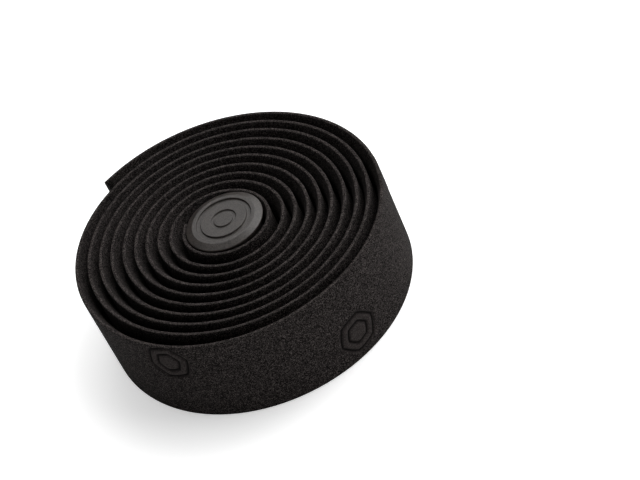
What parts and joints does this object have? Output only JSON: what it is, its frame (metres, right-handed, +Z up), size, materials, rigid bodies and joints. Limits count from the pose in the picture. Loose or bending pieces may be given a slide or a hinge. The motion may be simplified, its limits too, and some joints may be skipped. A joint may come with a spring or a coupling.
{
  "type": "handlebar tape roll",
  "caption": "Strip of foam handlebar tape wound into a loose flat roll, with a moulded bar end plug seated in its eye.",
  "frame": {"origin": "middle of the outline, at the lower edge of the wound tape", "axes": "+Z up along the axis of the roll, out of the plug's face; the free outer end of the strip lies towards -X and +Y"},
  "size_m": [0.1002, 0.1036, 0.0327],
  "materials": {
    "foam": "matte",
    "plug": "satin"
  },
  "bodies": {
    "root": {"tape_strip": "foam", "end_plug": "plug"}
  },
  "joints": []
}
